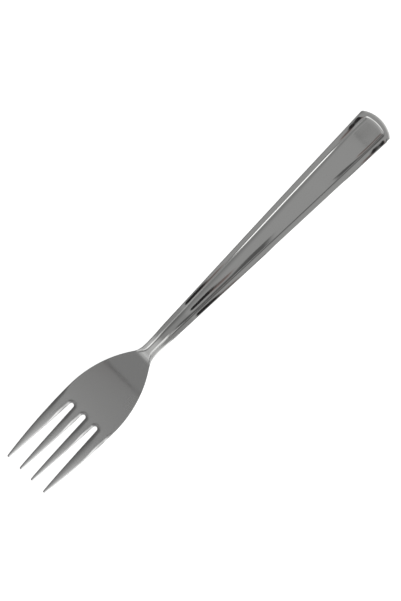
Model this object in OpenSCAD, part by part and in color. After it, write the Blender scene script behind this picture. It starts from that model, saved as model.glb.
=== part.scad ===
// Dinner fork: one stainless steel stamping, lying as on a table with its tines up.
// X runs along the fork with the tips at -X, Y runs across it, Z is up from the table. Millimetres.
// Distances along the fork, called u below, are counted from the tine tips.
// The fork is drawn as it is made: a flat blank outline, pressed between an upper and a lower die.
// Each zone of the blank is a grid of plan points, and plate() closes it between the two die faces.

/* [Overall] */
// Length from the tine tips to the end of the handle
fork_l = 195; // [180:1:215]

/* [Head outline] */
// Greatest width across the head
head_w = 25.6; // [23:0.1:28]
// Distance from the tips to the widest place
widest_at = 36; // [34:0.5:40]
// Width over the outer tines at their tips
tip_span = 20.4; // [19:0.1:22]
// Radius of the head's sides as they close towards the neck
shoulder_r = 48; // [46:0.5:56]
// Distance from the tips to the end of those arcs
shoulder_to = 63; // [60:0.5:65]

/* [Tines] */
// Distance from the tips to the bottom of the slots
slot_l = 32; // [30:0.1:34]
// Width of a slot at its round bottom
slot_w = 1.85; // [1.7:0.05:2.3]
// Distance between the middles of neighbouring slots
slot_pitch = 6.45; // [6:0.05:6.9]
// Distance between the two inner tips
inner_tip_gap = 6.14; // [5.6:0.02:6.6]
// Width of a tine at its tip
tip_w = 0.9; // [0.6:0.05:1.2]
// Share of that width left at the very point
tip_blunt = 0.65; // [0.3:0.05:0.8]
// How the tines narrow: 1 is straight sides, less is fuller sides
tine_taper = 0.8; // [0.7:0.05:1.1]

/* [Neck and handle outline] */
// Distance from the tips to the narrowest place
neck_at = 69.5; // [68:0.5:73]
// Width of the neck
neck_w = 6.1; // [5.4:0.05:7]
// Distance from the tips to where the handle sides start
handle_from = 79; // [77:0.5:86]
// Width of the handle there
handle_w = 7; // [6.4:0.1:9]
// Width across the end of the handle
end_w = 15.7; // [13:0.1:18]
// How much wider the handle is, at most, than with straight sides
handle_swell = 0.35; // [0:0.05:1]
// Radius of the arc that closes the handle
end_r = 13; // [11:0.25:20]
// Rounding of the two end corners
corner_r = 0.45; // [0.4:0.05:1.5]

/* [Side profile] */
// Height of the tips' undersides over the table
tip_rise = 12; // [8:0.5:16]
// Distance from the tips to the lowest place of the head
low_at = 53.2; // [48:0.2:56]
// Length of the fold across the head at that place
crease_l = 4; // [2:0.2:6]
// Slope of the head in front of the fold, in millimetres a millimetre
head_fall = 0.08; // [0.04:0.01:0.15]
// Slope of the head behind the fold
head_climb = 0.1; // [0.04:0.01:0.15]
// Distance from the tips to the bend from the head into the neck
bend_at = 63.8; // [62:0.2:66]
// Length of that bend
bend_l = 2.8; // [2:0.2:6]
// Distance from the tips to the top of the arch
crest_at = 94.5; // [90:0.5:104]
// Length of the level stretch there
crest_l = 7; // [2:0.5:12]
// Height of the arch over the table
arch_h = 9; // [7:0.2:12]
// Distance from the tips to where the handle's fall is steepest
fall_from = 140; // [120:1:145]
// Distance from the handle end back to where it starts to level out
fall_back = 34; // [28:1:44]
// Length of the flat that the handle end rests on
land_l = 11; // [8:0.5:16]

/* [Gauge] */
// Thickness at the tips
tip_t = 1.0; // [0.8:0.05:1.4]
// Thickness at the bottom of the slots
root_t = 1.7; // [1.4:0.05:2.2]
// Thickness just behind the bend into the neck
bend_t = 2; // [1.6:0.05:2.4]
// Thickness under the neck channel, where the handle starts
neck_t = 2.5; // [2:0.05:3.2]
// Thickness under the panel, near the wide end
handle_t = 2; // [1.8:0.05:2.4]
// Thickness under the panel at the very end
end_t = 1.9; // [1.6:0.05:2]
// Length over which it thins to that
thin_l = 14; // [10:0.5:20]
// Depth of the dish across the head
head_dish = 0.25; // [0:0.05:2]
// Depth of the same curve at the tips
tip_dish = 0.25; // [0:0.05:1.6]
// Width of the rounding along the edges of the tines
tine_edge_w = 0.45; // [0.3:0.05:1]
// Width of that rounding at the roots of the tines and around the slot bottoms
root_edge_w = 1.7; // [0.5:0.05:1.9]
// Width of the rounding along the edges of the neck
neck_edge_w = 1.25; // [0.4:0.05:1.4]
// Width of the rounding along all other edges
edge_w = 0.3; // [0.2:0.02:0.5]
// Depth of a rounding as a share of its width
edge_drop = 0.3; // [0.2:0.01:0.5]
// How far a tine's back stands over its edges, as a share of its width
tine_crown = 0.1; // [0:0.01:0.12]

/* [Handle border and panel] */
// Width of the raised border at the neck
rib_neck_w = 1.45; // [1.1:0.05:1.7]
// Width of the raised border along the wide end of the handle
rib_end_w = 2.35; // [1.8:0.05:3]
// Width of the border across the end
end_rim_w = 1.7; // [1.4:0.05:3]
// Height of the border over the panel's foot
rib_h = 0.28; // [0.2:0.02:0.5]
// Height that the border's back adds in its middle at the wide end
rib_crown = 0.055; // [0:0.005:0.15]
// Distance from the end to where the border starts to lift from the panel
lift_back = 11; // [8:0.5:16]
// Length over which it lifts
lift_l = 9; // [6:0.5:14]
// Height that it lifts by
end_lift = 0.16; // [0:0.02:0.4]
// Length over which it falls to the end
rim_l = 3.5; // [2.5:0.5:5]
// Height of that fall
rim_fall = 0.4; // [0:0.05:0.5]
// Width of the step from the border down to the panel
step_w = 0.4; // [0.3:0.05:0.6]
// Width of the fall from the panel's face to the step, at the neck
neck_groove_w = 0.7; // [0.4:0.1:1.2]
// Width of that fall along the arch
groove_w = 2.4; // [1:0.1:3]
// Width of that fall at the wide end
end_groove_w = 1.1; // [0.6:0.1:2]
// Slope of the fall where it meets the step, at the neck
neck_pitch = 0.5; // [0.1:0.05:0.6]
// Slope of the fall where it meets the step, along the handle
panel_pitch = 0.25; // [0.1:0.05:0.4]
// Rounding of the panel's two corners
panel_r = 1.2; // [0.6:0.1:2]
// Distance from the tips to where the borders leave the outline
rib_from = 63.6; // [62:0.2:66]
// Distance along the neck in which the borders reach their width
rib_flare_l = 4.4; // [3:0.2:7]

/* [Mesh] */
// Rows of plan points along a tine
tine_rows = 13; // [8:1:20]
// Rows along the head
head_rows = 11; // [8:1:16]
// Rows along the neck
neck_rows = 15; // [10:1:24]
// Rows along the handle
handle_rows = 34; // [20:1:48]

/* [Hidden] */
handle_steel = [0.66, 0.66, 0.65];
head_steel = [0.56, 0.56, 0.55];
slot_r = slot_w / 2;
slot_end = slot_l - slot_r;
neck_from = shoulder_to - 2 * slot_r;
neck_to = handle_from + neck_w / 2;
land_at = fork_l - land_l;
thin_at = fork_l - thin_l;
lift_at = fork_l - lift_back;
tine_side_drop = (head_w - tip_span) / 2;
tine_side_r = (pow(widest_at, 2) + pow(tine_side_drop, 2)) / (2 * tine_side_drop);
end_slope = (end_w - handle_w) / 2 / (fork_l - handle_from);
bow_in_l = end_r - end_rim_w - panel_r;
root_half = (slot_pitch - slot_w) / 2;
edge_part = 0.45;
rib_rise = 1 / 3;

// Slopes of the underside at its knots; the climbs and falls between them add up to the heights above.
low_from = low_at - crease_l / 2;
low_to = low_at + crease_l / 2;
bend_from = bend_at - bend_l / 2;
bend_to = bend_at + bend_l / 2;
crest_from = crest_at - crest_l / 2;
crest_to = crest_at + crest_l / 2;
fall_to = fork_l - fall_back;
low_share = head_fall / (head_fall + head_climb);
fold_fall = head_fall * crease_l * low_share / 2;
fold_climb = head_climb * crease_l * (1 - low_share) / 2;
tip_slope = 2 * (tip_rise - fold_fall) / low_from - head_fall;
head_gain = fold_climb + head_climb * (bend_from - low_to + bend_l / 2);
neck_slope = (arch_h - head_gain) / (bend_l / 2 + (crest_from - bend_to) / 2);
handle_slope = arch_h / ((fall_from - crest_to) / 2 + fall_to - fall_from + (land_at - fall_to) / 2);
slopes = [
    [0, -tip_slope],
    [low_from, -head_fall],
    [low_to, head_climb],
    [bend_from, head_climb],
    [bend_to, neck_slope],
    [crest_from, 0],
    [crest_to, 0],
    [fall_from, -handle_slope],
    [fall_to, -handle_slope],
    [land_at, 0],
    [fork_l, 0]
];
gauge = [
    [0, tip_t],
    [slot_end, root_t],
    [bend_from, root_t],
    [bend_to + bend_l / 2, bend_t],
    [handle_from, neck_t],
    [thin_at, handle_t],
    [fork_l, end_t]
];
dishing = [[0, tip_dish], [slot_end, head_dish], [low_at, head_dish], [neck_at, 0]];
edging = [
    [slot_end - 2 * slot_pitch, tine_edge_w],
    [slot_end, root_edge_w],
    [slot_end + slot_pitch, edge_w],
    [bend_from, edge_w],
    [neck_at, neck_edge_w],
    [2 * handle_from - neck_at, edge_w]
];
grooving = [[neck_at, neck_groove_w], [crest_at, groove_w], [fall_from, groove_w], [fork_l, end_groove_w]];
pitching = [[neck_at, neck_pitch], [crest_at, panel_pitch]];

// Small helpers
function clamp01(t) = max(0, min(1, t));
function ease(t) = let (c = clamp01(t)) c * c * (3 - 2 * c);
function mix(a, b, t) = a + (b - a) * t;
function total(v, i = 0) = i >= len(v) ? 0 : v[i] + total(v, i + 1);
function quarter(t) = 1 - sqrt(1 - pow(1 - clamp01(t), 2));

// Value at u, eased between knots of [distance, value]
function along(knots, u, i = 0) =
    u <= knots[0][0] ? knots[0][1]
    : i >= len(knots) - 1 ? knots[i][1]
    : u > knots[i + 1][0] ? along(knots, u, i + 1)
    : mix(knots[i][1], knots[i + 1][1], ease((u - knots[i][0]) / (knots[i + 1][0] - knots[i][0])));

// Curve from height a with slope ma to height b with slope mb over length l, at share t
function bridge(a, ma, b, mb, l, t) =
    a * (1 + 2 * t) * pow(1 - t, 2) + b * t * t * (3 - 2 * t)
    + l * (ma * t * pow(1 - t, 2) - mb * t * t * (1 - t));

// Blank outline
function shoulder(u) = head_w / 2 - shoulder_r + sqrt(pow(shoulder_r, 2) - pow(u - widest_at, 2));
shoulder_slope = -(shoulder_to - widest_at) / sqrt(pow(shoulder_r, 2) - pow(shoulder_to - widest_at, 2));
// The handle's sides swell out over straight ones by t * t * (1 - t), whose greatest value is 4 / 27
function swell(u) =
    let (t = clamp01((u - handle_from) / (fork_l - handle_from)))
    handle_swell / 2 * 27 / 4 * t * t * (1 - t);
function handle_side(u) = handle_w / 2 + end_slope * (u - handle_from) + swell(u);
function corner_cut(u) = corner_r * quarter((fork_l - u) / corner_r);
function half_w(u) =
    u < widest_at ? head_w / 2 - tine_side_r + sqrt(pow(tine_side_r, 2) - pow(widest_at - u, 2))
    : u < shoulder_to ? shoulder(u)
    : u < neck_at ? bridge(shoulder(shoulder_to), shoulder_slope, neck_w / 2, 0,
        neck_at - shoulder_to, (u - shoulder_to) / (neck_at - shoulder_to))
    : u < handle_from ? bridge(neck_w / 2, 0, handle_w / 2, end_slope,
        handle_from - neck_at, (u - neck_at) / (handle_from - neck_at))
    : handle_side(u) - corner_cut(u);

// The last stretch of the handle bows into the end arc
function end_sag(y) = end_r - sqrt(max(0, pow(end_r, 2) - y * y));
function bow(u, y) = end_sag(y) * ease((u - fork_l + end_r) / bow_in_l);

// Heights of the lower die face and of the steel on it
function slope_at(u) = lookup(u, slopes);
function underside(u) = tip_rise + total([
    for (i = [0 : len(slopes) - 2])
        let (a = slopes[i][0], b = min(u, slopes[i + 1][0]))
        if (b > a) (slope_at(a) + slope_at(b)) / 2 * (b - a)
]);
function dish(u, y) = along(dishing, u) * pow(2 * y / head_w, 2);

// Raised border: rib_in is its inner edge, counted from the outline, and runs out to it at the head
function rib_run(u) = clamp01((u - rib_from) / rib_flare_l);
function wide_share(u) = clamp01((u - neck_at) / (fork_l - neck_at));
function rib_in(u) = mix(rib_neck_w, rib_end_w, wide_share(u)) * sin(90 * rib_run(u));
function rib_lift(u) = end_lift * ease((u - lift_at) / lift_l);
function rib_top(u) = rib_h + rib_lift(u) + (u > thin_at ? handle_t - along(gauge, u) : 0);
function step_at(u) = step_w * rib_top(u) / rib_h;

// Distance from the border's inner edge, with the corners of the panel rounded
function panel_gap(u, y) =
    let (side = half_w(u) - abs(y) - rib_in(u), end = fork_l - end_rim_w - u)
    side < panel_r && end < panel_r ? panel_r - norm([panel_r - side, panel_r - end]) : min(side, end);

// Back of the border: crowned along the sides, falling towards the end
function side_crown(u, y) =
    rib_crown * pow(rib_in(u) / rib_end_w, 1.5) * sin(180 * clamp01((half_w(u) - abs(y)) / rib_in(u)));
function end_fall(u) = rim_fall * pow(clamp01(1 - (fork_l - u) / rim_l), 2);

// The convex panel falls to the step
function groove_at(u) = min(along(grooving, u), max(half_w(u) - rib_in(u) - step_at(u), step_w));
function groove(u, gap) =
    along(pitching, u) * groove_at(u) / 2 * pow(1 - clamp01((gap - step_at(u)) / groove_at(u)), 2);
function border(u, y) =
    let (gap = panel_gap(u, y))
    rib_run(u) <= 0 ? 0
    : ease(rib_run(u) / rib_rise) * (
        (rib_top(u) + side_crown(u, y) - end_fall(u)) * (1 - ease(gap / step_at(u))) - groove(u, gap));

function thick(u, y) = along(gauge, u) + border(u, y);
function edge_at(u) = along(edging, u);
function rounding(u, d) = edge_drop * edge_at(u) * pow(1 - clamp01(d / edge_at(u)), 2);

// Solid between the die faces over a grid of plan points.
// A point is [u, y, distance to the nearest free edge, drop of the upper face].
module plate(grid) {
    m = len(grid);
    n = len(grid[0]);
    half = m * n;
    function spot(p, top) =
        let (t = thick(p[0], p[1]), r = rounding(p[0], p[2]), z = underside(p[0]) + dish(p[0], p[1]))
        [p[0] - bow(p[0], p[1]) - fork_l / 2, p[1], top ? z + t - r - p[3] : z + r];
    function quad(a, b, c, d) = [[a, b, c], [a, c, d]];
    points = concat(
        [for (row = grid) for (p = row) spot(p, true)],
        [for (row = grid) for (p = row) spot(p, false)]
    );
    faces = [
        for (i = [0 : m - 2]) for (j = [0 : n - 2])
            let (a = i * n + j, b = a + n)
            each concat(quad(a, a + 1, b + 1, b), quad(half + a, half + b, half + b + 1, half + a + 1)),
        for (i = [0 : m - 2])
            let (a = i * n, b = a + n, c = a + n - 1, d = b + n - 1)
            each concat(quad(a, b, half + b, half + a), quad(d, c, half + c, half + d)),
        for (j = [0 : n - 2])
            let (a = j, b = (m - 1) * n + j)
            each concat(quad(a + 1, a, half + a, half + a + 1), quad(b, b + 1, half + b + 1, half + b))
    ];
    polyhedron(points = points, faces = faces, convexity = 8);
}

// Places across one tine of width w, close together in its rounded edges
function tine_steps(u, w) =
    let (e = min(edge_at(u), edge_part * w))
    [0, e / 3, e, w / 2, w - e, w - e / 3, w];

// Edges of the inner and the outer tine on the +Y side
function narrowing(u) = pow(u / slot_end, tine_taper);
function inner_mid(u) = mix(inner_tip_gap, slot_pitch, u / slot_end) / 2;
function inner_half(u) = mix(tip_w / 2, root_half, narrowing(u));
function outer_in(u) = mix(tip_span / 2 - tip_w, slot_pitch + slot_r, narrowing(u));
function tine_low(outer, u) = outer ? outer_in(u) : inner_mid(u) - inner_half(u);
function tine_high(outer, u) = outer ? half_w(u) : inner_mid(u) + inner_half(u);

// One tine; the point is drawn in to a blunt round tip
function tip_draw(u) = mix(tip_blunt, 1, sqrt(1 - pow(1 - clamp01(u / tip_w), 2)));
function back_drop(u, w, k) = tine_crown * w * pow(2 * k / w - 1, 2) * ease((slot_end - u) / slot_pitch);
function tine_row(outer, u) =
    let (lo = tine_low(outer, u), hi = tine_high(outer, u), mid = (lo + hi) / 2, w = (hi - lo) * tip_draw(u))
    [for (k = tine_steps(u, w)) [u, mid - w / 2 + k, min(k, w - k, u), back_drop(u, w, k)]];
function mirrored(grid) = [
    for (row = grid) [for (k = [len(row) - 1 : -1 : 0]) [row[k][0], -row[k][1], row[k][2], row[k][3]]]
];
function tine_grid(outer) = [
    for (u = concat([for (a = [0 : 30 : 90]) tip_w * (1 - cos(a))], [2 * tip_w],
        [for (k = [1 : tine_rows]) mix(2 * tip_w, slot_end, k / tine_rows)]))
        tine_row(outer, u)
];

module tine(outer, left) {
    grid = tine_grid(outer);
    color(head_steel) plate(left ? grid : mirrored(grid));
}

// Front line of the head: the roots of the four tines with the round slot bottoms between them
function root_part(outer) = [for (p = tine_row(outer, slot_end)) [slot_end, p[1]]];
function slot_part(y) = [for (a = [150 : -30 : 30]) [slot_end + slot_r * sin(a), y + slot_r * cos(a)]];
function flipped(part) = [for (k = [len(part) - 1 : -1 : 0]) [part[k][0], -part[k][1]]];
head_front = concat(
    flipped(root_part(true)), slot_part(-slot_pitch), flipped(root_part(false)), slot_part(0),
    root_part(false), slot_part(slot_pitch), root_part(true)
);
function slot_gap(u, y) = min([for (c = [-1 : 1]) norm([u - slot_end, y - c * slot_pitch]) - slot_r]);
function head_point(start, go) =
    let (u = mix(start[0], neck_from, go), y = start[1] * half_w(u) / half_w(start[0]))
    [u, y, max(0, min(half_w(u) - abs(y), slot_gap(u, y))), 0];
head_l = neck_from - slot_end;

module head() {
    near = root_edge_w / head_l;
    steps = concat([0, near / 4, near / 2, near], [for (k = [1 : head_rows]) mix(near, 1, k / head_rows)]);
    color(head_steel) plate([for (go = steps) [for (start = head_front) head_point(start, go)]]);
}

// Places across the neck and handle: edge rounding, border, step, groove, then the panel
function side_steps(u) =
    let (e = edge_at(u), w = half_w(u), rib = max(rib_in(u), e + step_w / 2), foot = rib + step_at(u))
    [0, e / 3, e, (e + rib) / 2, rib, (rib + foot) / 2, foot,
        min(foot + groove_at(u) / 2, mix(foot, w, 1 / 3)), min(foot + groove_at(u), mix(foot, w, 2 / 3))];
function shaft_row(u) =
    let (steps = side_steps(u), w = half_w(u))
    [for (y = concat([for (k = steps) k - w], [0], [for (k = [len(steps) - 1 : -1 : 0]) w - steps[k]]))
        [u, y, max(0, min(w - abs(y), fork_l - u)), 0]];

module neck() {
    color(handle_steel)
        plate([for (k = [0 : neck_rows]) shaft_row(mix(neck_from, neck_to, k / neck_rows))]);
}

module handle() {
    end_step = step_at(fork_l);
    rim_from = fork_l - end_rim_w - panel_r - end_step;
    rim = [panel_r, end_step, end_step / 2, 0];
    stations = concat(
        [for (k = [0 : handle_rows]) mix(neck_to, rim_from, k / handle_rows)],
        [for (r = rim) fork_l - end_rim_w - r],
        [for (e = [2 * edge_w, edge_w, edge_w / 2, 0]) fork_l - e]
    );
    color(handle_steel) plate([for (u = stations) shaft_row(u)]);
}

module outer_tine_left() { tine(true, true); }
module inner_tine_left() { tine(false, true); }
module inner_tine_right() { tine(false, false); }
module outer_tine_right() { tine(true, false); }

handle();
neck();
head();
outer_tine_left();
inner_tine_left();
inner_tine_right();
outer_tine_right();
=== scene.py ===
# Dinner fork: one polished stainless steel stamping on a white table, seen from straight above.
import math

import bpy
import numpy as np
from mathutils import Matrix, Vector


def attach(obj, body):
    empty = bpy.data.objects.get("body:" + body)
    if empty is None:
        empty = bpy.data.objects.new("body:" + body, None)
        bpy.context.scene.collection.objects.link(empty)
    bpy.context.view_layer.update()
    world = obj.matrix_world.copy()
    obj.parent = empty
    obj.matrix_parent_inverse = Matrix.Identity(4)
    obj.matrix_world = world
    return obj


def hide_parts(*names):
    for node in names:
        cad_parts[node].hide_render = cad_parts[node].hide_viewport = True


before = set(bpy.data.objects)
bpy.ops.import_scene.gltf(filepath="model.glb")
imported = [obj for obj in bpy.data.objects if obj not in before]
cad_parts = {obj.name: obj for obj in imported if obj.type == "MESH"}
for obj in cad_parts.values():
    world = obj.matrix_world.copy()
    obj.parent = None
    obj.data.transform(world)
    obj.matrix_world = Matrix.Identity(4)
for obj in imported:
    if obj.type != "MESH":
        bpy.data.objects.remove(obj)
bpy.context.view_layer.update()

MM = 0.001

# Sizes in millimetres, slopes and shares, as in the CAD source, except NECK_EDGE_W, which is 1.25 there

# Plan of the head and tines
FORK_L = 195.0
HEAD_W = 25.6
WIDEST_AT = 36.0
TIP_SPAN = 20.4
SHOULDER_R = 48.0
SHOULDER_TO = 63.0
SLOT_L = 32.0
SLOT_W = 1.85
SLOT_PITCH = 6.45
INNER_TIP_GAP = 6.14
TIP_W = 0.9
TINE_TAPER = 0.8

# Plan of the neck and handle
NECK_AT = 69.5
NECK_W = 6.1
HANDLE_FROM = 79.0
HANDLE_W = 7.0
END_W = 15.7
HANDLE_SWELL = 0.35
END_R = 13.0
CORNER_R = 0.45

# Line of the underside
TIP_RISE = 12.0
LOW_AT = 53.2
CREASE_L = 4.0
HEAD_FALL = 0.08
HEAD_CLIMB = 0.1
BEND_AT = 63.8
BEND_L = 2.8
CREST_AT = 94.5
CREST_L = 7.0
ARCH_H = 9.0
FALL_FROM = 140.0
FALL_BACK = 34.0
LAND_L = 11.0

# Thickness, and the dish of the head
TIP_T = 1.0
ROOT_T = 1.7
BEND_T = 2.0
NECK_T = 2.5
HANDLE_T = 2.0
END_T = 1.9
THIN_L = 14.0
HEAD_DISH = 0.25
TIP_DISH = 0.25

# Rounded edges, faces and tips of the tines, and rounded edges of the rest
TINE_EDGE_W = 0.45
ROOT_EDGE_W = 1.7
NECK_EDGE_W = 0.6
EDGE_W = 0.3
EDGE_DROP = 0.3
EDGE_PART = 0.45
TINE_CROWN = 0.1
TIP_BLUNT = 0.65

# Ribs of the neck, which become the border of the handle's panel
RIB_FROM = 63.6
RIB_FLARE_L = 4.4
RIB_RISE = 1 / 3
RIB_NECK_W = 1.45
RIB_END_W = 2.35
RIB_H = 0.28
RIB_CROWN = 0.055
CROWN_POWER = 1.5
STEP_W = 0.4
END_RIM_W = 1.7
RIM_L = 3.5
RIM_FALL = 0.4
LIFT_BACK = 11.0
LIFT_L = 9.0
END_LIFT = 0.16

# Grooves along the panel, and its corners
NECK_GROOVE_W = 0.7
GROOVE_W = 2.4
END_GROOVE_W = 1.1
NECK_PITCH = 0.5
PANEL_PITCH = 0.25
PANEL_R = 1.2

# Values that follow from the sizes
SLOT_R = SLOT_W / 2
SLOT_END = SLOT_L - SLOT_R
NECK_FROM = SHOULDER_TO - 2 * SLOT_R
LAND_AT = FORK_L - LAND_L
THIN_AT = FORK_L - THIN_L
LIFT_AT = FORK_L - LIFT_BACK
TINE_DROP = (HEAD_W - TIP_SPAN) / 2
TINE_SIDE_R = (WIDEST_AT ** 2 + TINE_DROP ** 2) / (2 * TINE_DROP)
END_SLOPE = (END_W - HANDLE_W) / 2 / (FORK_L - HANDLE_FROM)
ROOT_HALF = (SLOT_PITCH - SLOT_W) / 2

# Slopes of the underside at its knots; the climbs and falls between them add up to the heights above
LOW_FROM = LOW_AT - CREASE_L / 2
LOW_TO = LOW_AT + CREASE_L / 2
BEND_FROM = BEND_AT - BEND_L / 2
BEND_TO = BEND_AT + BEND_L / 2
CREST_FROM = CREST_AT - CREST_L / 2
CREST_TO = CREST_AT + CREST_L / 2
FALL_TO = FORK_L - FALL_BACK
LOW_SHARE = HEAD_FALL / (HEAD_FALL + HEAD_CLIMB)
FOLD_FALL = HEAD_FALL * CREASE_L * LOW_SHARE / 2
FOLD_CLIMB = HEAD_CLIMB * CREASE_L * (1 - LOW_SHARE) / 2
TIP_SLOPE = 2 * (TIP_RISE - FOLD_FALL) / LOW_FROM - HEAD_FALL
HEAD_GAIN = FOLD_CLIMB + HEAD_CLIMB * (BEND_FROM - LOW_TO + BEND_L / 2)
NECK_SLOPE = (ARCH_H - HEAD_GAIN) / (BEND_L / 2 + (CREST_FROM - BEND_TO) / 2)
HANDLE_SLOPE = ARCH_H / ((FALL_FROM - CREST_TO) / 2 + FALL_TO - FALL_FROM + (LAND_AT - FALL_TO) / 2)
SLOPES = (
    (0, -TIP_SLOPE),
    (LOW_FROM, -HEAD_FALL),
    (LOW_TO, HEAD_CLIMB),
    (BEND_FROM, HEAD_CLIMB),
    (BEND_TO, NECK_SLOPE),
    (CREST_FROM, 0),
    (CREST_TO, 0),
    (FALL_FROM, -HANDLE_SLOPE),
    (FALL_TO, -HANDLE_SLOPE),
    (LAND_AT, 0),
    (FORK_L, 0),
)

# Sizes that change along the fork, as knots of place and value
GAUGE = (
    (0, TIP_T),
    (SLOT_END, ROOT_T),
    (BEND_FROM, ROOT_T),
    (BEND_TO + BEND_L / 2, BEND_T),
    (HANDLE_FROM, NECK_T),
    (THIN_AT, HANDLE_T),
    (FORK_L, END_T),
)
EDGING = (
    (SLOT_END - 2 * SLOT_PITCH, TINE_EDGE_W),
    (SLOT_END, ROOT_EDGE_W),
    (SLOT_END + SLOT_PITCH, EDGE_W),
    (BEND_FROM, EDGE_W),
    (NECK_AT, NECK_EDGE_W),
    (2 * HANDLE_FROM - NECK_AT, EDGE_W),
)
GROOVING = (
    (NECK_AT, NECK_GROOVE_W),
    (CREST_AT, GROOVE_W),
    (FALL_FROM, GROOVE_W),
    (FORK_L, END_GROOVE_W),
)
PITCHING = ((NECK_AT, NECK_PITCH), (CREST_AT, PANEL_PITCH))
DISHING = ((0, TIP_DISH), (SLOT_END, HEAD_DISH), (LOW_AT, HEAD_DISH), (NECK_AT, 0))

# Brings the peak of t * t * (1 - t) to 1
SWELL_GAIN = 27 / 4

# Keeps the ribs' width off zero where they start
LEAST_RIB = 1e-6


# Form of the fork, as functions of u, the distance from the tips, and y, the distance from the middle
def ease(t):
    """Smooth step from 0 to 1."""
    c = np.clip(t, 0, 1)
    return c * c * (3 - 2 * c)


def mix(a, b, t):
    return a + (b - a) * t


def quarter(t):
    """Fall from 1 to 0 along a quarter circle."""
    return 1 - np.sqrt(1 - (1 - np.clip(t, 0, 1)) ** 2)


def along(knots, u):
    """Value at u of a line through knots of place and value, eased between them."""
    u = np.maximum(u, knots[0][0])
    out = np.full(np.shape(u), float(knots[-1][1]))
    for (a, va), (b, vb) in reversed(list(zip(knots[:-1], knots[1:]))):
        out = np.where(u <= b, mix(va, vb, ease((u - a) / (b - a))), out)
    return out


def bridge(a, ma, b, mb, length, t):
    """Curve from a to b that leaves with slope ma and arrives with slope mb."""
    value = a * (1 + 2 * t) * (1 - t) ** 2 + b * t * t * (3 - 2 * t)
    return value + length * (ma * t * (1 - t) ** 2 - mb * t * t * (1 - t))


def half_w(u):
    """Half of the width: sides of the tines, shoulders, waist, neck and handle."""
    run = SHOULDER_TO - WIDEST_AT
    shoulder_root = math.sqrt(SHOULDER_R ** 2 - run ** 2)
    shoulder_end = HEAD_W / 2 - SHOULDER_R + shoulder_root
    before = np.clip(WIDEST_AT - u, 0, WIDEST_AT)
    after = np.clip(u - WIDEST_AT, 0, run)
    front = HEAD_W / 2 - TINE_SIDE_R + np.sqrt(TINE_SIDE_R ** 2 - before ** 2)
    shoulder = HEAD_W / 2 - SHOULDER_R + np.sqrt(SHOULDER_R ** 2 - after ** 2)
    to_neck = np.clip((u - SHOULDER_TO) / (NECK_AT - SHOULDER_TO), 0, 1)
    waist = bridge(shoulder_end, -run / shoulder_root, NECK_W / 2, 0, NECK_AT - SHOULDER_TO, to_neck)
    to_handle = np.clip((u - NECK_AT) / (HANDLE_FROM - NECK_AT), 0, 1)
    flare = bridge(NECK_W / 2, 0, HANDLE_W / 2, END_SLOPE, HANDLE_FROM - NECK_AT, to_handle)
    run_out = np.clip((u - HANDLE_FROM) / (FORK_L - HANDLE_FROM), 0, 1)
    swell = HANDLE_SWELL / 2 * SWELL_GAIN * run_out ** 2 * (1 - run_out)
    corner = CORNER_R * quarter((FORK_L - u) / CORNER_R)
    side = HANDLE_W / 2 + END_SLOPE * (u - HANDLE_FROM) + swell - corner
    out = np.where(u < WIDEST_AT, front, shoulder)
    out = np.where(u < SHOULDER_TO, out, waist)
    out = np.where(u < NECK_AT, out, flare)
    return np.where(u < HANDLE_FROM, out, side)


def bow(u, y):
    """How far the round end of the handle draws a place back."""
    sag = END_R - np.sqrt(np.maximum(0, END_R ** 2 - y * y))
    return sag * ease((u - FORK_L + END_R) / (END_R - END_RIM_W - PANEL_R))


def underside(u):
    """Height of the underside along the middle, summed from its slopes."""
    z = np.full(np.shape(u), TIP_RISE)
    for (a, ma), (b, mb) in zip(SLOPES[:-1], SLOPES[1:]):
        end = np.clip(u, a, b)
        slope = mix(ma, mb, (end - a) / (b - a))
        z = z + (ma + slope) / 2 * (end - a)
    return z


def dish(u, y):
    """Rise of the head's sides over its middle."""
    return along(DISHING, u) * (2 * y / HEAD_W) ** 2


def rib_run(u):
    return np.clip((u - RIB_FROM) / RIB_FLARE_L, 0, 1)


def wide_share(u):
    return np.clip((u - NECK_AT) / (FORK_L - NECK_AT), 0, 1)


def rib_in(u):
    """Width of a rib, and of the border that it becomes."""
    return mix(RIB_NECK_W, RIB_END_W, wide_share(u)) * np.sin(math.pi / 2 * rib_run(u))


def rib_top(u):
    """Height of the border, which lifts from the panel towards the end of the handle."""
    lift = END_LIFT * ease((u - LIFT_AT) / LIFT_L)
    return RIB_H + lift + np.where(u > THIN_AT, HANDLE_T - along(GAUGE, u), 0)


def step_at(u):
    """Width of the step from the border down to the panel."""
    return STEP_W * rib_top(u) / RIB_H


def groove_at(u):
    return along(GROOVING, u)


def border(u, y):
    """Raised border along the outline, and the fall of the convex panel towards it."""
    edge = half_w(u) - np.abs(y)
    rib = np.maximum(rib_in(u), LEAST_RIB)
    side = edge - rib
    end = FORK_L - END_RIM_W - u
    round_gap = PANEL_R - np.hypot(PANEL_R - side, PANEL_R - end)
    gap = np.where((side < PANEL_R) & (end < PANEL_R), round_gap, np.minimum(side, end))
    back = RIB_CROWN * (rib / RIB_END_W) ** CROWN_POWER * np.sin(math.pi * np.clip(edge / rib, 0, 1))
    back = back - RIM_FALL * np.clip(1 - (FORK_L - u) / RIM_L, 0, 1) ** 2
    step = step_at(u)
    wide = np.minimum(groove_at(u), np.maximum(half_w(u) - rib - step, STEP_W))
    groove = along(PITCHING, u) * wide / 2 * (1 - np.clip((gap - step) / wide, 0, 1)) ** 2
    return ease(rib_run(u) / RIB_RISE) * ((rib_top(u) + back) * (1 - ease(gap / step)) - groove)


def thick(u, y):
    return along(GAUGE, u) + border(u, y)


def edge_at(u):
    """Width of the rounding along the edges."""
    return along(EDGING, u)


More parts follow.
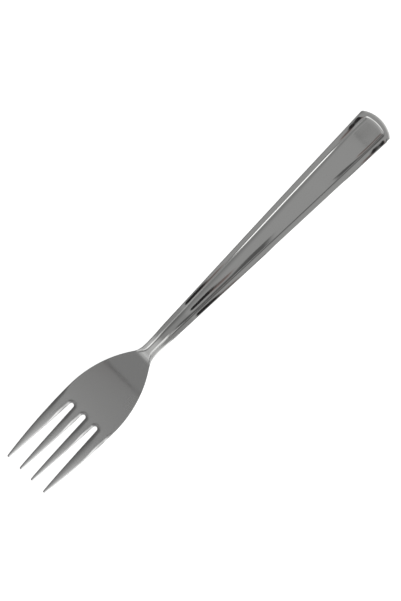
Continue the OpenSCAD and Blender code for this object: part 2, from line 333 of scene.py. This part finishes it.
def die_faces(u, y, edge, drop):
    """Top and bottom points, in metres, over plan points whose distance to the nearest free edge is given."""
    t = thick(u, y)
    width = edge_at(u)
    r = EDGE_DROP * width * (1 - np.clip(edge / width, 0, 1)) ** 2
    z = underside(u) + dish(u, y)
    x = u - bow(u, y) - FORK_L / 2
    top = np.stack((x, y, z + t - r - drop), axis=-1) * MM
    bottom = np.stack((x, y, z + r), axis=-1) * MM
    return top, bottom


# Counts of the mesh lines, which lie close together where the form turns fast
EDGE_ROWS = 9
SLOT_STEPS = 9
TINE_INNER = 7
RIB_STEPS = 5
STEP_STEPS = 9
GROOVE_STEPS = 7
TIP_ROWS = 8
TINE_ROWS = 49
HEAD_ROWS = 58
NECK_ROWS = 66
HANDLE_ROWS = 130
THIN_ROWS = 24
PANEL_END_ROWS = 26
RIM_ROWS = 9

# Places of the lines in an edge's rounding, as shares of its width
EDGE_STEPS = np.linspace(0, 1, EDGE_ROWS)

# Largest share of the panel's half width that the lines of a groove take
GROOVE_PART = 2 / 3


def at(form, u):
    """Value of a form at one place."""
    return float(form(np.array(u)))


def tine_steps(u, w):
    """Places across a tine, close together at both edges."""
    e = min(at(edge_at, u), EDGE_PART * w) * EDGE_STEPS
    inner = np.linspace(e[-1], w - e[-1], TINE_INNER + 2)[1:-1]
    return np.concatenate((e, inner, w - e[::-1]))


def tine_edges(outer, u):
    """Inner and outer side of a left-hand tine."""
    narrowing = (u / SLOT_END) ** TINE_TAPER
    if outer:
        return mix(TIP_SPAN / 2 - TIP_W, SLOT_PITCH + SLOT_R, narrowing), at(half_w, u)
    mid = mix(INNER_TIP_GAP, SLOT_PITCH, u / SLOT_END) / 2
    half = mix(TIP_W / 2, ROOT_HALF, narrowing)
    return mid - half, mid + half


def tine_row(outer, u):
    """One row across a left-hand tine: places, distances to the edge, and the fall of its crowned face."""
    lo, hi = tine_edges(outer, u)
    blunt = math.sqrt(1 - (1 - min(u / TIP_W, 1)) ** 2)
    w = (hi - lo) * mix(TIP_BLUNT, 1, blunt)
    k = tine_steps(u, w)
    y = (lo + hi) / 2 - w / 2 + k
    drop = TINE_CROWN * w * (2 * k / w - 1) ** 2 * ease((SLOT_END - u) / SLOT_PITCH)
    return np.full(k.shape, u), y, np.minimum(np.minimum(k, w - k), u), drop


def tine_grid(outer, left):
    tip = TIP_W * (1 - np.sin(np.radians(np.linspace(90, 0, TIP_ROWS))))
    stations = np.concatenate((tip, np.linspace(TIP_W, SLOT_END, TINE_ROWS)[1:]))
    rows = [tine_row(outer, float(u)) for u in stations]
    u, y, edge, drop = (np.array([row[k] for row in rows]) for k in range(4))
    if left:
        return u, y, edge, drop
    return u[:, ::-1], -y[:, ::-1], edge[:, ::-1], drop[:, ::-1]


def shaft_places(u):
    """Half width, and places in from the edge of the neck or handle: rounding, border, step, groove."""
    w = at(half_w, u)
    e = at(edge_at, u)
    rib = max(at(rib_in, u), e + STEP_W / 2)
    foot = rib + at(step_at, u)
    groove = min(foot + at(groove_at, u), mix(foot, w, GROOVE_PART))
    side = np.concatenate((
        e * EDGE_STEPS,
        np.linspace(e, rib, RIB_STEPS + 1)[1:],
        np.linspace(rib, foot, STEP_STEPS)[1:],
        np.linspace(foot, groove, GROOVE_STEPS)[1:],
    ))
    return w, side


def head_front():
    """Front line of the head: tine roots with the round slot bottoms between them."""
    angles = np.radians(np.linspace(180, 0, SLOT_STEPS + 2)[1:-1])
    roots = ((True, -1, -SLOT_PITCH), (False, -1, 0.0), (False, 1, SLOT_PITCH), (True, 1, None))
    parts = []
    for outer, sign, slot in roots:
        y = tine_row(outer, SLOT_END)[1]
        y = y if sign > 0 else -y[::-1]
        parts.append((np.full(y.shape, SLOT_END), y, np.zeros(y.shape, bool)))
        if slot is not None:
            arc = slot + SLOT_R * np.cos(angles)
            parts.append((SLOT_END + SLOT_R * np.sin(angles), arc, np.ones(arc.shape, bool)))
    return [np.concatenate([p[k] for p in parts]) for k in range(3)]


def body_grid():
    """Head, neck and handle as one grid of plan points, with the distance to the nearest free edge."""
    start, y0, in_slot = head_front()
    n = len(y0)
    front_share = y0 / half_w(start)
    near = ROOT_EDGE_W * EDGE_STEPS
    head_l = NECK_FROM - SLOT_END
    go = np.concatenate((near / head_l, np.linspace(near[-1] / head_l, 1, HEAD_ROWS)[1:]))
    rim = FORK_L - END_RIM_W
    panel_end = rim - PANEL_R - STEP_W
    rim_from = rim + STEP_W / 4
    stations = np.concatenate((
        np.linspace(NECK_FROM, HANDLE_FROM, NECK_ROWS)[1:],
        np.linspace(HANDLE_FROM, THIN_AT, HANDLE_ROWS)[1:],
        np.linspace(THIN_AT, panel_end, THIN_ROWS)[1:],
        np.linspace(panel_end, rim_from, PANEL_END_ROWS)[1:],
        np.linspace(rim_from, FORK_L - EDGE_W, RIM_ROWS)[1:],
        FORK_L - EDGE_W * EDGE_STEPS[::-1][1:],
    ))
    us = [mix(start, NECK_FROM, g) for g in go]
    us += [np.full(n, s) for s in stations]
    rows = []
    for u in us:
        mean = float(np.mean(u))
        w, side = shaft_places(max(mean, NECK_FROM))
        inner = w - side[-1]
        middle = np.linspace(-inner, inner, n - 2 * len(side) + 2)[1:-1]
        shaft_share = np.concatenate((side - w, middle, w - side[::-1])) / w
        to_shaft = ease((mean - SLOT_L - ROOT_EDGE_W) / (NECK_FROM - SLOT_L - ROOT_EDGE_W))
        width = half_w(u)
        y = mix(front_share, shaft_share, to_shaft) * width
        edge = np.minimum(width - np.abs(y), FORK_L - u)
        for c in (-SLOT_PITCH, 0.0, SLOT_PITCH):
            edge = np.minimum(edge, np.hypot(u - SLOT_END, y - c) - SLOT_R)
        rows.append((u, y, np.maximum(edge, 0), np.zeros(n)))
    grids = [np.array([row[k] for row in rows]) for k in range(4)]
    return grids, in_slot


# One closed mesh for the whole fork
WELDS_PER_METRE = 1e7
SHARP_FROM = math.radians(30)


class Shell:
    """Grids of points on both faces of the fork, welded into one mesh."""

    def __init__(self):
        self.points = []
        self.faces = []
        self.count = 0

    def add(self, grid, front, end):
        """Adds both faces and side walls of a grid, a front wall where front is true, and an end wall."""
        top, bottom = die_faces(*grid)
        m, n = top.shape[:2]
        t = self.count + np.arange(m * n).reshape(m, n)
        b = t + m * n
        self.points += [top.reshape(-1, 3), bottom.reshape(-1, 3)]
        self.count += 2 * m * n
        self.quads(t[:-1, :-1], t[1:, :-1], t[1:, 1:], t[:-1, 1:])
        self.quads(b[:-1, :-1], b[:-1, 1:], b[1:, 1:], b[1:, :-1])
        self.quads(t[:-1, 0], b[:-1, 0], b[1:, 0], t[1:, 0])
        self.quads(t[:-1, -1], t[1:, -1], b[1:, -1], b[:-1, -1])
        self.quads(t[0, :-1][front], t[0, 1:][front], b[0, 1:][front], b[0, :-1][front])
        if end:
            self.quads(t[-1, :-1], b[-1, :-1], b[-1, 1:], t[-1, 1:])

    def quads(self, a, b, c, d):
        self.faces.append(np.stack((a.ravel(), b.ravel(), c.ravel(), d.ravel()), axis=-1))

    def build(self, name):
        points = np.concatenate(self.points)
        faces = np.concatenate(self.faces)
        cells = np.round(points * WELDS_PER_METRE).astype(np.int64)
        first, back = np.unique(cells, axis=0, return_index=True, return_inverse=True)[1:]
        mesh = bpy.data.meshes.new(name)
        mesh.from_pydata(points[first].tolist(), [], back.reshape(-1)[faces].tolist())
        mesh.validate()
        mesh.polygons.foreach_set("use_smooth", np.ones(len(mesh.polygons), bool))
        mesh.update()
        mesh.set_sharp_from_angle(angle=SHARP_FROM)
        obj = bpy.data.objects.new(name, mesh)
        bpy.context.collection.objects.link(obj)
        return obj


def make_fork():
    shell = Shell()
    for outer in (True, False):
        for left in (True, False):
            grid = tine_grid(outer, left)
            shell.add(grid, front=np.ones(grid[0].shape[1] - 1, bool), end=False)
    grid, in_slot = body_grid()
    shell.add(grid, front=in_slot[:-1] | in_slot[1:], end=True)
    return shell.build("fork")


# Helpers for shader nodes
def node(tree, kind, **sockets):
    made = tree.nodes.new(kind)
    for key, value in sockets.items():
        made.inputs[key].default_value = value
    return made


def math_node(tree, operation, a, b=None, c=None):
    made = tree.nodes.new("ShaderNodeMath")
    made.operation = operation
    for slot, value in enumerate((a, b, c)):
        if value is None:
            continue
        if isinstance(value, (int, float)):
            made.inputs[slot].default_value = value
        else:
            tree.links.new(value, made.inputs[slot])
    return made.outputs[0]


def ramp(tree, value, span, falling=False):
    """Smooth step over a span of the value, up from 0 to 1, or down from 1 to 0 if falling."""
    made = tree.nodes.new("ShaderNodeMapRange")
    made.interpolation_type = "SMOOTHSTEP"
    made.inputs["From Min"].default_value = span[0]
    made.inputs["From Max"].default_value = span[1]
    made.inputs["To Min"].default_value = 1.0 if falling else 0.0
    made.inputs["To Max"].default_value = 0.0 if falling else 1.0
    tree.links.new(value, made.inputs["Value"])
    return made.outputs["Result"]


# Look of the steel; the darker head tint is painted shade for the head's darker reflections, and the span
# where the satin and that shade end is in metres along the fork
HANDLE_TINT = (0.62, 0.62, 0.61, 1)
# Darker tint of the same steel on the head and tines: painted shade
HEAD_PAINTED_SHADE_TINT = (0.515, 0.515, 0.51, 1)
SATIN_AND_SHADE_END = (-0.0335, -0.0275)
BRIGHT_ROUGH = 0.055
SATIN_ROUGH = 0.17
LINE_STRETCH = (90.0, 4200.0, 4200.0)
LINE_NOISE = {"Scale": 1.0, "Detail": 3.0, "Roughness": 0.6}
LINE_ROUGH = 0.03
LINE_BUMP = {"Strength": 0.012, "Distance": 0.0002}
WIPE_NOISE = {"Scale": 95.0, "Detail": 4.0, "Roughness": 0.55}
WIPE_SPAN = (0.42, 0.72)
WIPE_ROUGH = 0.035


def steel_material():
    mat = bpy.data.materials.new("stainless_steel")
    mat.use_nodes = True
    tree = mat.node_tree
    shader = tree.nodes["Principled BSDF"]
    shader.inputs["Metallic"].default_value = 1.0
    place = tree.nodes.new("ShaderNodeTexCoord")
    split = tree.nodes.new("ShaderNodeSeparateXYZ")
    tree.links.new(place.outputs["Object"], split.inputs[0])

    # Head and tines are softly polished, the handle is bright; the head also gets a darker tint, which is
    # painted shade
    soft = ramp(tree, split.outputs["X"], SATIN_AND_SHADE_END, falling=True)

    # Fine polishing lines along the fork
    stretch = node(tree, "ShaderNodeMapping", Scale=LINE_STRETCH)
    tree.links.new(place.outputs["Object"], stretch.inputs["Vector"])
    lines = node(tree, "ShaderNodeTexNoise", **LINE_NOISE)
    tree.links.new(stretch.outputs[0], lines.inputs["Vector"])

    # Faint wipe marks and wear from use
    smudge = node(tree, "ShaderNodeTexNoise", **WIPE_NOISE)
    tree.links.new(place.outputs["Object"], smudge.inputs["Vector"])
    wipe = ramp(tree, smudge.outputs[0], WIPE_SPAN)

    base_rough = math_node(tree, "MULTIPLY_ADD", soft, SATIN_ROUGH, BRIGHT_ROUGH)
    with_lines = math_node(tree, "MULTIPLY_ADD", lines.outputs[0], LINE_ROUGH, base_rough)
    rough = math_node(tree, "MULTIPLY_ADD", wipe, WIPE_ROUGH, with_lines)
    tree.links.new(rough, shader.inputs["Roughness"])

    # The handle's tint gives way to the head's darker tint, which is painted shade
    tint = tree.nodes.new("ShaderNodeMix")
    tint.data_type = "RGBA"
    tint.inputs["A"].default_value = HANDLE_TINT
    tint.inputs["B"].default_value = HEAD_PAINTED_SHADE_TINT
    tree.links.new(soft, tint.inputs["Factor"])
    tree.links.new(tint.outputs["Result"], shader.inputs["Base Color"])

    bump = node(tree, "ShaderNodeBump", **LINE_BUMP)
    tree.links.new(lines.outputs[0], bump.inputs["Height"])
    tree.links.new(bump.outputs[0], shader.inputs["Normal"])
    return mat


# Look and size of the table, in metres
TABLE_GREY = (0.5, 0.5, 0.5, 1)
WHITE = (1, 1, 1, 1)
TABLE_GLOW = 0.88
TABLE_HALF = 30.0


def floor_material():
    mat = bpy.data.materials.new("white_table")
    mat.use_nodes = True
    tree = mat.node_tree
    tree.nodes.clear()
    out = tree.nodes.new("ShaderNodeOutputMaterial")
    diffuse = node(tree, "ShaderNodeBsdfDiffuse", Color=TABLE_GREY)
    glow = node(tree, "ShaderNodeEmission", Color=WHITE)
    rays = tree.nodes.new("ShaderNodeLightPath")
    seen = math_node(tree, "MAXIMUM", rays.outputs["Is Camera Ray"], rays.outputs["Is Glossy Ray"])
    seen = math_node(tree, "MAXIMUM", seen, rays.outputs["Is Transmission Ray"])
    strength = math_node(tree, "MULTIPLY", seen, TABLE_GLOW)
    tree.links.new(strength, glow.inputs["Strength"])
    both = tree.nodes.new("ShaderNodeAddShader")
    tree.links.new(diffuse.outputs[0], both.inputs[0])
    tree.links.new(glow.outputs[0], both.inputs[1])
    tree.links.new(both.outputs[0], out.inputs["Surface"])
    return mat


def make_floor():
    mesh = bpy.data.meshes.new("table_top")
    far = TABLE_HALF
    corners = [(-far, -far, 0), (far, -far, 0), (far, far, 0), (-far, far, 0)]
    mesh.from_pydata(corners, [], [(0, 1, 2, 3)])
    floor = bpy.data.objects.new("table_top", mesh)
    bpy.context.collection.objects.link(floor)
    floor.data.materials.append(floor_material())


# Camera straight over the fork, turned so that the fork lies across the picture
ROLL = math.radians(44.95)
LENS = 250.0
SENSOR = 36.0
CLIP_END = 50.0
PICTURE_H = 601
MM_PER_PIXEL = 0.3888
TALL_MM = PICTURE_H * MM_PER_PIXEL
AIM = Vector((-2.03, -0.14, 6.0)) * MM


def make_camera():
    data = bpy.data.cameras.new("camera")
    data.lens = LENS
    data.sensor_width = SENSOR
    data.clip_end = CLIP_END
    cam = bpy.data.objects.new("camera", data)
    bpy.context.collection.objects.link(cam)
    toward = Vector((0, 0, 1))
    along_x = Vector((1, 0, 0))
    along_y = toward.cross(along_x)
    right = math.cos(ROLL) * along_x - math.sin(ROLL) * along_y
    up = math.sin(ROLL) * along_x + math.cos(ROLL) * along_y
    distance = TALL_MM * MM * LENS / SENSOR
    turn = Matrix((right, up, toward)).transposed().to_4x4()
    cam.matrix_world = Matrix.Translation(AIM + toward * distance) @ turn
    bpy.context.scene.camera = cam


# Studio round the fork: levels of its surfaces, and in brackets the spans of a direction over which one
# surface gives way to another. Front is past the handle, back past the tines, and right the fork's right.
CEILING = 0.41
CEILING_ENDS = 0.34
CEILING_FRONT = (0.35, 0.7)
CEILING_BACK = (0.08, 0.2)
LEFT_WALL = 0.17
LEFT_WALL_FROM = (0.05, 0.65)
FOOT = 0.45
FOOT_ASIDE = (0.3, 0.5)
FOOT_TOP = (0.35, 0.6)
FOOT_FROM = (0.2, 0.4)
FRONT_WALL_LEFT = 0.42
FRONT_WALL_RIGHT = 1.35
FRONT_WALL_ACROSS = (-0.4, 0.8)
FRONT_WALL_FROM = (0.38, 0.46)
BACK_WALL_PALE = 0.68
BACK_WALL_WHITE = 1.2
BACK_WALL_LEFT = (0.1, 0.5)
BACK_WALL_RIGHT = (0.5, 0.8)
BACK_WALL_PALE_FROM = (0.69, 0.82)
BACK_WALL_WHITE_FROM = (0.88, 0.96)
STRIP = 1.2
STRIP_BACK = (0.52, 0.66)
STRIP_RIGHT = (0.14, 0.3)
SIDE_WALL_LOW = 1.0
SIDE_WALL_BRIGHT = 2.05
SIDE_WALL_FROM = (0.4, 0.8)
BRIGHT_ABOVE = (0.25, 0.45)
BRIGHT_RIGHT = (0.8, 0.92)
BRIGHT_BACK = (0.3, 0.45)
SHADE = 0.9
SHADE_BACK = (0.35, 0.55)
SHADE_ABOVE = (0.2, 0.4)

# Cards before the side wall, with one slanting front edge, and a slanting corner of the black one
CARDS_FRONT = 0.343
CARDS_SLANT = -0.18
CARDS_EDGE = (-0.01, 0.03)
GREY_CARD_PALE = 0.65
GREY_CARD = 0.4
GREY_CARD_TURN = (0.02, 0.08)
GREY_CARD_BACK = (-0.56, -0.46)
GREY_CARD_TOP = (0.3, 0.4)
BLACK_CARD = 0.13
BLACK_CARD_BACK = (-0.56, -0.3)
BLACK_CARD_TOP = (0.26, 0.36)
BLACK_CARD_FOOT = (0.5, 0.62)
CARD_CORNER_SLANT = 1.5
CARD_CORNER_EDGE = (0.42, 0.52)
CARD_CORNER_TOP = (0.14, 0.2)

# Small card overhead and the patches beside it
OVERHEAD_CARD = 0.012
OVERHEAD_OVAL = {"centre": (0.01, -0.03), "radii": (0.05, 0.12), "soft": 0.1}
WARM_PATCH = (0.27, 0.2, 0.185, 1)
WARM_OVAL = {"centre": (0.075, -0.1), "radii": (0.055, 0.13), "soft": 0.3}
DIM_PATCH = (0.19, 0.16, 0.155, 1)
DIM_OVAL = {"centre": (0.07, -0.08), "radii": (0.045, 0.1), "soft": 0.3}
PATCHES_FROM = (0.02, 0.07)
OVALS_ABOVE = (0.2, 0.4)


def make_world():
    """Studio light: a grey ceiling, white walls to the right and behind, a front wall that brightens to the
    right, a darker left wall with a paler foot, and cards."""
    world = bpy.data.worlds.new("studio")
    bpy.context.scene.world = world
    world.use_nodes = True
    tree = world.node_tree
    background = tree.nodes["Background"]
    place = tree.nodes.new("ShaderNodeTexCoord")
    split = tree.nodes.new("ShaderNodeSeparateXYZ")
    tree.links.new(place.outputs["Generated"], split.inputs[0])
    x, y, z = split.outputs
    back = math_node(tree, "MULTIPLY", x, -1.0)
    right = math_node(tree, "MULTIPLY", y, -1.0)

    def grey(level):
        return (level, level, level, 1)

    def blend(under, over, share):
        made = tree.nodes.new("ShaderNodeMix")
        made.data_type = "RGBA"
        for name, value in (("A", under), ("B", over)):
            if isinstance(value, tuple):
                made.inputs[name].default_value = value
            else:
                tree.links.new(value, made.inputs[name])
        tree.links.new(share, made.inputs["Factor"])
        return made.outputs["Result"]

    def rise(value, span):
        return ramp(tree, value, span)

    def fall(value, span):
        return ramp(tree, value, span, falling=True)

    def less(a, b):
        return math_node(tree, "SUBTRACT", a, b)

    def times(a, b):
        return math_node(tree, "MULTIPLY", a, b)

    def most(a, b):
        return math_node(tree, "MAXIMUM", a, b)

    def times_add(a, b, c):
        return math_node(tree, "MULTIPLY_ADD", a, b, c)

    def oval(centre, radii, soft):
        dx = times(less(x, centre[0]), 1 / radii[0])
        dy = times(less(y, centre[1]), 1 / radii[1])
        reach = math_node(tree, "SQRT", math_node(tree, "ADD", times(dx, dx), times(dy, dy)))
        return times(fall(reach, (1.0 - soft, 1.0 + soft)), rise(z, OVALS_ABOVE))

    # Grey ceiling, darker to the left and a little to the front and back
    colour = blend(grey(CEILING), grey(CEILING_ENDS), rise(x, CEILING_FRONT))
    colour = blend(colour, grey(CEILING_ENDS), rise(back, CEILING_BACK))
    colour = blend(colour, grey(LEFT_WALL), rise(y, LEFT_WALL_FROM))

    # Paler foot of the left wall, except straight across
    aside = rise(math_node(tree, "ABSOLUTE", x), FOOT_ASIDE)
    foot = times(times(fall(z, FOOT_TOP), aside), rise(y, FOOT_FROM))
    colour = blend(colour, grey(FOOT), foot)

    # Front wall that brightens from left to right
    front = blend(grey(FRONT_WALL_LEFT), grey(FRONT_WALL_RIGHT), rise(right, FRONT_WALL_ACROSS))
    colour = blend(colour, front, rise(x, FRONT_WALL_FROM))

    # White wall behind the tines' end, with a white strip at its right
    behind = times(fall(y, BACK_WALL_LEFT), fall(right, BACK_WALL_RIGHT))
    colour = blend(colour, grey(BACK_WALL_PALE), times(rise(back, BACK_WALL_PALE_FROM), behind))
    strip = times(rise(back, STRIP_BACK), rise(right, STRIP_RIGHT))
    colour = blend(colour, grey(STRIP), strip)
    colour = blend(colour, grey(BACK_WALL_WHITE), times(rise(back, BACK_WALL_WHITE_FROM), behind))

    # White side wall, shaded high up towards the back
    shaded = times(rise(back, SHADE_BACK), rise(z, SHADE_ABOVE))
    side_wall = times(rise(right, SIDE_WALL_FROM), times_add(shaded, -SHADE, 1.0))
    bright = most(rise(z, BRIGHT_ABOVE), rise(right, BRIGHT_RIGHT))
    bright = most(bright, rise(back, BRIGHT_BACK))
    colour = blend(colour, blend(grey(SIDE_WALL_LOW), grey(SIDE_WALL_BRIGHT), bright), side_wall)

    # A grey card before the side wall, and a black one over it
    cards_end = times_add(right, CARDS_SLANT, CARDS_FRONT)
    this_side = rise(less(cards_end, x), CARDS_EDGE)
    grey_card = times(times(rise(x, GREY_CARD_BACK), this_side), rise(right, GREY_CARD_TOP))
    card_tone = blend(grey(GREY_CARD_PALE), grey(GREY_CARD), rise(x, GREY_CARD_TURN))
    colour = blend(colour, card_tone, grey_card)
    slant = times_add(x, CARD_CORNER_SLANT, right)
    corner = times(rise(slant, CARD_CORNER_EDGE), rise(right, CARD_CORNER_TOP))
    top_edge = most(rise(right, BLACK_CARD_TOP), corner)
    black_card = times(times(rise(x, BLACK_CARD_BACK), this_side), top_edge)
    colour = blend(colour, grey(BLACK_CARD), times(black_card, fall(right, BLACK_CARD_FOOT)))

    # A small black card overhead, with a warm and a dim patch beside it
    beside = rise(right, PATCHES_FROM)
    colour = blend(colour, WARM_PATCH, times(oval(**WARM_OVAL), beside))
    colour = blend(colour, DIM_PATCH, times(oval(**DIM_OVAL), beside))
    colour = blend(colour, grey(OVERHEAD_CARD), oval(**OVERHEAD_OVAL))
    tree.links.new(colour, background.inputs["Color"])


make_camera()
make_world()
make_floor()

fork = make_fork()
fork.data.materials.append(steel_material())
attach(fork, "root")
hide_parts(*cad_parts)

scene = bpy.context.scene
scene.view_settings.view_transform = "Standard"
